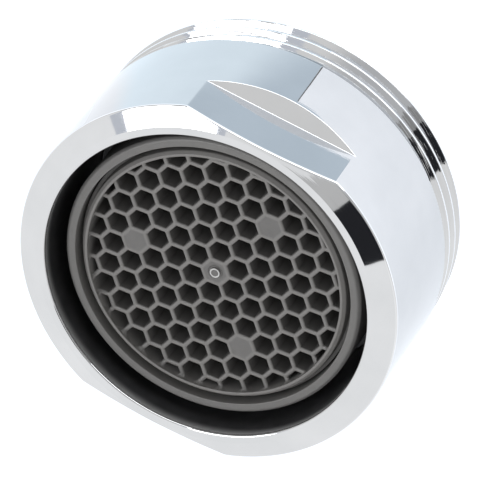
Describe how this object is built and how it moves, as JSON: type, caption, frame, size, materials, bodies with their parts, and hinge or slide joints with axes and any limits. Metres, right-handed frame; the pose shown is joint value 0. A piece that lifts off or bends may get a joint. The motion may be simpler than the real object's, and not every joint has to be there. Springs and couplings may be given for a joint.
{
  "type": "tap aerator",
  "caption": "Round screw-in tap aerator: plated shell with male thread, spanner flats and bevelled lip around a grey plastic honeycomb outlet.",
  "frame": {"origin": "centre of the washer's sealing face, on which the part stands", "axes": "+Z along the axis, the way the water leaves; the spanner flats face -Y and +Y"},
  "size_m": [0.024, 0.024, 0.0126],
  "materials": {
    "plated_brass": "polished chromium plate",
    "black_rubber": "matt",
    "grey_plastic": "satin moulded",
    "white_plastic": "satin moulded"
  },
  "bodies": {
    "root": {"housing": "plated_brass", "sealing_washer": "black_rubber", "filter_screen": "white_plastic", "jet_former": "white_plastic", "insert_sleeve": "grey_plastic", "mixing_screen_inlet": "grey_plastic", "mixing_spacer": "grey_plastic", "mixing_screen_outlet": "grey_plastic", "outlet_grid": "grey_plastic"}
  },
  "joints": []
}
